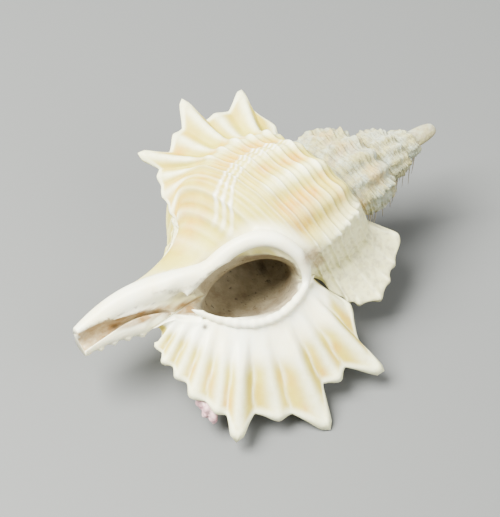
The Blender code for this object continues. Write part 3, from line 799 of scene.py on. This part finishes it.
def dirt_and_shade_mask(at, points, corner):
    """Grey dirt on older whorls, beside the rim and in the crack; painted shade in the sutures and,
    with patchy dirt, between the spire's folds.
    """
    # suture and below paint shade into both sides of the suture creases; spire mixes patchy dirt with
    # painted shade between the folds
    suture = 0.75 * (1.0 - smooth(0.0, 0.05, at.place)) * (at.number > 0)
    below = 0.8 * smooth(0.90, 0.97, at.place) * (at.angle > 351.0) * (at.number > 1)
    spire = 0.55 * (at.number > 1) * (at.ridge < 0.35) * patches(points, 1.1, 0.0, 0.4)
    older = 0.5 * at.beyond * patches(points, 0.7, 0.05, 0.35)
    flat = (1.0, 0.0, 1.0)
    beside = distance_to(points * flat, smooth_line(CRACK, 8, False) * flat)
    crack = 0.8 * (1.0 - smooth(0.10, 0.40, beside)) * (points[:, 1] < -0.5)
    return np.maximum.reduce((suture, below, spire, older, 0.9 * corner, crack))


def inside_mask(points, kind):
    """Walls of the hollow, from a little way in."""
    way = points - MOUTH
    depth = way @ MOUTH_IN / (MOUTH_IN @ MOUTH_IN)
    flat = way - depth[:, None] * MOUTH_IN
    size = np.hypot(flat @ MOUTH_LONG / (MOUTH_LONG @ MOUTH_LONG),
                    flat @ MOUTH_SHORT / (MOUTH_SHORT @ MOUTH_SHORT))
    within = smooth(1.2, 2.2, depth) * (depth < 9.0) * (1.0 - smooth(0.98, 1.03, size))
    return np.maximum((kind == IN_HOLLOW) * smooth(0.0, 1.4, depth), within)


def stain_mask(points, kind, corner):
    """Brown stain in the slot and beside the rim."""
    slot_away = distance_to(points, smooth_line(SLOT, 6, False)[:, :3])
    seam_away = distance_to(points, smooth_line(SEAM, 8, False))
    return np.maximum.reduce(((kind == IN_SLOT) * smooth(-48.5, -50.5, points[:, 2]),
                              0.9 * (1.0 - smooth(0.3, 1.1, slot_away)),
                              1.0 - smooth(0.5, 1.0, seam_away), 0.7 * corner))


def marks_mask(points):
    """Small dark marks on the lip, in the canal and in the hollow."""
    marks = np.zeros(len(points))
    for x, y, z, wide in MARKS:
        away = distance_to(points, [(x, y, z)])
        marks = np.maximum(marks, 1.0 - smooth(0.5 * wide, wide + 0.35, away))
    return marks


def masks(points, kind, place, column):
    """Where each colour of the shell lies, by name."""
    at = growth_marks(place, column)
    skin = kind == OUTSIDE
    chalk = smooth(372.0, 400.0, at.angle) * skin
    corner = 1.0 - smooth(0.6, 2.0, distance_to(points, CORNER_DIRT))
    on_ribs = 0.25 + 0.75 * crest(place, RIB_PLACES, 0.036)
    return {"white": white_mask(at) * skin * (1.0 - chalk),
            "warm": warm_mask(at, points) * skin,
            "chalk": chalk,
            "callus": callus_mask(at, points, kind),
            "inside": inside_mask(points, kind),
            "stain": stain_mask(points, kind, corner),
            "dirt_and_shade": dirt_and_shade_mask(at, points, corner) * (kind < ON_CRUST),
            "crust": (kind == ON_CRUST) * 1.0,
            "beads": at.beads * skin * (at.number < 2) * on_ribs,
            "rust": skin * (1.0 - smooth(760.0, 900.0, at.angle)),
            "rows": 0.1 + 0.2 * np.clip(at.row, -0.4, 4.0),
            "marks": marks_mask(points)}


def softened(points, kind, edges):
    """Points with the joins of rim, fold, slot and hollow smoothed."""
    inner_lip = distance_to(points, smooth_line(RIM[6:] + RIM[:1], 6, False)[:, :3])
    canal = distance_to(points, smooth_line(FOLD, 6, False)[:, :3])
    join = np.maximum(1.0 - smooth(2.0, 3.2, inner_lip), 1.0 - smooth(2.4, 3.4, canal))
    weight = 0.55 * join * np.where((kind == IN_SLOT) & (points[:, 2] < -53.5), 0.2, 1.0)
    points = soften(points, edges, weight, 20)
    corner = distance_to(points, SLOT_CORNER)
    points = soften(points, edges, 0.5 * (1.0 - smooth(1.5, 3.2, corner)), 60)
    rim_away = distance_to(points, smooth_line(RIM, 6, True)[:, :3])
    points = soften(points, edges, 0.6 * (kind == IN_HOLLOW) * smooth(1.4, 3.2, rim_away), 40)
    outer_lip = distance_to(points, smooth_line(RIM[:7], 8, False)[:, :3])
    return soften(points, edges, 0.5 * (1.0 - smooth(1.0, 1.8, outer_lip)), 2)


def shell_skin():
    """The visible shell, standing for the solid."""
    points, faces, columns, rows, grid = outer_surface()
    tools = ((tube("rim", rim_line(), 24, True), "UNION"),
             (tube("fold", smooth_line(FOLD, 10, False), 24, False), "UNION"),
             (crust_mesh(), "UNION"),
             (hollow_mesh(), "DIFFERENCE"),
             (slot_mesh(), "DIFFERENCE"))
    sets = [grid.reshape(-1, 3)] + [coordinates(tool) for tool, operation in tools]
    data = shaped(mesh_from("skin", points, faces), tools)
    spots = coordinates(data)
    kind, number = nearest(sets, spots).T
    at = np.where(kind == OUTSIDE, number, 0)
    edges = np.empty(len(data.edges) * 2, dtype=np.int64)
    data.edges.foreach_get("vertices", edges)
    edges = edges.reshape(-1, 2)
    spots = softened(spots, kind, edges)
    layers = masks(spots, kind, rows[at % len(rows)], columns[at // len(rows)])
    half = np.full(len(spots), 0.5)
    for name in ("inside", "callus"):
        layers[name] = soften(layers[name][:, None] * 1.0, edges, half, 3)[:, 0]
    for name, values in layers.items():
        layer = data.attributes.new(name, "FLOAT", "POINT")
        layer.data.foreach_set("value", np.clip(values, 0.0, 1.0).astype(np.float32))
    data.vertices.foreach_set("co", spots.ravel())
    return placed("shell_skin", data)


def rim_line():
    """Line of the raised rim, finely scalloped along the outer lip."""
    line = smooth_line(RIM, 14, True)
    gap = np.linalg.norm(np.diff(line[:, :3], axis=0, append=line[:1, :3]), axis=1)
    along = np.cumsum(gap)
    outer = smooth(-5.4, -4.9, line[:, 1])
    wave = np.cos(2 * np.pi * along / 1.3) + 0.8 * np.cos(2 * np.pi * along / 2.9)
    line[:, 3:] *= (1.0 + 0.09 * outer * wave)[:, None]
    return line


def dirt_threads():
    """Thin threads of dirt that hang from the underside of the spire."""
    down = TURN.T @ (0.0, 0.0, -1.0)
    draw = np.random.default_rng(5)
    count, first, last, shortest, longest = DIRT_THREADS
    threads = []
    for height in np.linspace(first, last, count):
        turn = draw.uniform(0.10, 0.60)
        start = np.array((math.cos(turn), 0.85 * math.sin(turn), 0.0)) * -0.39 * height
        start[2] = height
        length = draw.uniform(shortest, longest)
        sway = draw.uniform(-0.3, 0.3, 3)
        share = np.linspace(0.0, 1.0, 7)[:, None]
        middle = start + down * length * share + sway * share ** 2
        width = draw.uniform(0.11, 0.20) * (1.0 - 0.75 * share)
        line = np.concatenate((middle, width, width), axis=1)
        threads.append(placed("dirt_threads", tube("threads", line, 6, False)))
    with bpy.context.temp_override(active_object=threads[0], selected_editable_objects=threads):
        bpy.ops.object.join()
    return threads[0]


def placed(name, data):
    """Smooth object of a mesh, turned from the shell's axes to the row frame."""
    points = coordinates(data) @ TURN.T * MM + TIP
    points[:, 2] = np.maximum(points[:, 2], FLOOR_GAP)
    data.vertices.foreach_set("co", points.ravel())
    data.polygons.foreach_set("use_smooth", [True] * len(data.polygons))
    data.update()
    return linked(name, data)


def node(tree, kind, inputs, **settings):
    """Shader node with its inputs set or linked."""
    item = tree.nodes.new(kind)
    for name, value in settings.items():
        setattr(item, name, value)
    for socket, value in inputs.items():
        if isinstance(value, bpy.types.NodeSocket):
            tree.links.new(value, item.inputs[socket])
        else:
            item.inputs[socket].default_value = value
    return item


def shell_material():
    """Cream shell, white on its ribs, chalky on the spire, brown inside."""
    material = bpy.data.materials.new("shell")
    material.use_nodes = True
    tree = material.node_tree
    surface = tree.nodes["Principled BSDF"]
    where = node(tree, "ShaderNodeTexCoord", {}).outputs["Object"]

    def mask(name):
        return node(tree, "ShaderNodeAttribute", {}, attribute_name=name).outputs["Fac"]

    def grain(scale, detail, low, high, to_low, to_high):
        texture = node(tree, "ShaderNodeTexNoise", {"Vector": where, "Scale": scale,
                                                    "Detail": detail, "Roughness": 0.6})
        return node(tree, "ShaderNodeMapRange", {
            "Value": texture.outputs["Fac"], "From Min": low, "From Max": high,
            "To Min": to_low, "To Max": to_high}).outputs["Result"]

    def times(one, other):
        return node(tree, "ShaderNodeMath", {0: one, 1: other}, operation="MULTIPLY",
                    use_clamp=True).outputs[0]

    def mix(share, one, other):
        return node(tree, "ShaderNodeMix", {"Factor": share, "A": one, "B": other},
                    data_type="RGBA").outputs["Result"]

    beads = times(bead_wave(tree, mask("rows")), mask("beads"))
    colour = mix_colours(mix, times, mask, grain, beads)
    tree.links.new(colour, surface.inputs["Base Color"])
    shell_finish(tree, surface, where, mask, beads)
    return material


def bead_wave(tree, rows):
    """Rows of beads, which stand at 0.1, 0.3 and 0.5 of the rows layer."""
    turn = node(tree, "ShaderNodeMath", {0: rows, 1: 0.1}, operation="SUBTRACT").outputs[0]
    turn = node(tree, "ShaderNodeMath", {0: turn, 1: 10.0 * math.pi},
                operation="MULTIPLY").outputs[0]
    wave = node(tree, "ShaderNodeMath", {0: turn}, operation="COSINE").outputs[0]
    return node(tree, "ShaderNodeMapRange", {"Value": wave, "From Min": -0.8,
                                             "From Max": 0.9}).outputs["Result"]


def shell_finish(tree, surface, where, mask, beads):
    """Glossy callus, dull chalk, dirt and painted shade, fine grain, raised beads and a little glow.
    """
    dull = node(tree, "ShaderNodeMath", {0: mask("chalk"), 1: mask("dirt_and_shade")},
                operation="MAXIMUM").outputs[0]
    dull = node(tree, "ShaderNodeMath", {0: dull, 1: mask("inside")},
                operation="MAXIMUM").outputs[0]
    gloss = node(tree, "ShaderNodeMapRange", {"Value": mask("callus"), "To Min": 0.50,
                                              "To Max": 0.30}).outputs["Result"]
    tree.links.new(node(tree, "ShaderNodeMix", {"Factor": dull, "A": gloss, "B": 0.85},
                        data_type="FLOAT").outputs["Result"], surface.inputs["Roughness"])
    fine = node(tree, "ShaderNodeTexNoise", {"Vector": where, "Scale": 2600.0, "Detail": 5.0})
    strength = node(tree, "ShaderNodeMapRange", {"Value": dull, "To Min": 0.12,
                                                 "To Max": 0.55}).outputs["Result"]
    raised = node(tree, "ShaderNodeBump", {"Strength": 0.6, "Distance": 0.00030, "Height": beads})
    bump = node(tree, "ShaderNodeBump", {"Strength": strength, "Distance": 0.00025,
                                         "Height": fine.outputs["Fac"],
                                         "Normal": raised.outputs["Normal"]})
    tree.links.new(bump.outputs["Normal"], surface.inputs["Normal"])
    surface.inputs["Subsurface Weight"].default_value = 0.12
    surface.inputs["Subsurface Radius"].default_value = (0.0012, 0.0009, 0.0006)
    surface.inputs["Subsurface Scale"].default_value = 1.0
    surface.inputs["Specular IOR Level"].default_value = 0.28


def dirt_material():
    """Dry grey-brown dirt."""
    material = bpy.data.materials.new("dirt")
    material.use_nodes = True
    tree = material.node_tree
    surface = tree.nodes["Principled BSDF"]
    where = node(tree, "ShaderNodeTexCoord", {}).outputs["Object"]
    grain = node(tree, "ShaderNodeTexNoise", {"Vector": where, "Scale": 1500.0, "Detail": 4.0})
    colour = node(tree, "ShaderNodeMix", {"Factor": grain.outputs["Fac"], "A": THREAD_DIRT[0],
                                          "B": THREAD_DIRT[1]}, data_type="RGBA")
    tree.links.new(colour.outputs["Result"], surface.inputs["Base Color"])
    bump = node(tree, "ShaderNodeBump", {"Strength": 0.5, "Distance": 0.0001,
                                         "Height": grain.outputs["Fac"]})
    tree.links.new(bump.outputs["Normal"], surface.inputs["Normal"])
    surface.inputs["Roughness"].default_value = 0.9
    return material


def mix_colours(mix, times, mask, grain, beads):
    """Base colour, from the cream ground to the stains on top."""
    ground = mix(grain(260.0, 4.0, 0.35, 0.65, 0.0, 1.0), *CREAM)
    warm = mix(grain(420.0, 3.0, 0.35, 0.65, 0.0, 1.0), *ORANGE)
    colour = mix(times(mask("warm"), grain(700.0, 4.0, 0.30, 0.58, 0.5, 1.0)), ground, warm)
    colour = mix(times(mask("white"), grain(900.0, 3.0, 0.30, 0.60, 0.75, 1.0)), colour,
                 RIB_WHITE)
    colour = mix(beads, colour, BEAD_WHITE)
    chalk = mix(grain(330.0, 5.0, 0.40, 0.60, 0.0, 1.0), *CHALK)
    chalk = mix(times(mask("rust"), grain(230.0, 3.0, 0.50, 0.66, 0.0, 0.7)), chalk, RUST)
    chalk = mix(grain(1500.0, 5.0, 0.46, 0.64, 0.0, 0.6), chalk, CHALK_PITS)
    colour = mix(mask("chalk"), colour, chalk)
    colour = mix(times(mask("callus"), 0.92), colour,
                 mix(grain(180.0, 3.0, 0.35, 0.65, 0.0, 1.0), *CALLUS))
    # grey dirt, with painted shade in the sutures and between the spire's folds
    colour = mix(times(mask("dirt_and_shade"), grain(1300.0, 5.0, 0.40, 0.60, 0.2, 0.9)), colour, DIRT_AND_SHADE)
    colour = mix(times(mask("stain"), grain(500.0, 4.0, 0.30, 0.60, 0.6, 1.0)), colour, STAIN)
    inner = mix(grain(300.0, 5.0, 0.40, 0.62, 0.0, 1.0), *INSIDE)
    inner = mix(grain(1100.0, 5.0, 0.60, 0.66, 0.0, 0.75), inner, INSIDE_SPECKS)
    colour = mix(mask("inside"), colour, inner)
    lump = mix(grain(600.0, 5.0, 0.35, 0.65, 0.0, 1.0), *CRUST_PINK)
    colour = mix(times(mask("marks"), 0.9), colour, DARK_MARK)
    return mix(mask("crust"), colour, lump)


def floor():
    """Plain grey floor."""
    bpy.ops.mesh.primitive_plane_add(size=FLOOR_SIZE, location=(0.0, 0.0, 0.0))
    plane = bpy.context.object
    plane.name = "floor"
    material = bpy.data.materials.new("floor")
    material.use_nodes = True
    surface = material.node_tree.nodes["Principled BSDF"]
    surface.inputs["Base Color"].default_value = FLOOR_GREY
    surface.inputs["Roughness"].default_value = 0.6
    plane.data.materials.append(material)


def lighting():
    """Pale sky and two soft lights that face the shell."""
    world = bpy.data.worlds.new("studio")
    world.use_nodes = True
    world.node_tree.nodes["Background"].inputs["Color"].default_value = SKY_COLOUR
    world.node_tree.nodes["Background"].inputs["Strength"].default_value = SKY_STRENGTH
    bpy.context.scene.world = world
    for name, place, size, power in LIGHTS:
        light = bpy.data.lights.new(name, "AREA")
        light.size = size
        light.energy = power
        light.color = LIGHT_COLOUR
        item = linked(name, light)
        item.location = place
        item.rotation_euler = (-Vector(place)).to_track_quat("-Z", "Y").to_euler()


def viewpoint():
    """Camera set to the photograph's view."""
    camera = bpy.data.cameras.new("camera")
    camera.sensor_fit = "HORIZONTAL"
    camera.sensor_width = CAMERA_SENSOR
    camera.lens = CAMERA_LENS
    camera.clip_start = 0.01
    item = linked("camera", camera)
    item.location = CAMERA_PLACE
    item.rotation_euler = [math.radians(value) for value in CAMERA_TURN]
    bpy.context.scene.camera = item


skin = shell_skin()
skin.data.materials.clear()
skin.data.materials.append(shell_material())
threads = dirt_threads()
threads.data.materials.append(dirt_material())
floor()
lighting()
viewpoint()
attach(skin, "root")
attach(threads, "root")
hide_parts("shell")
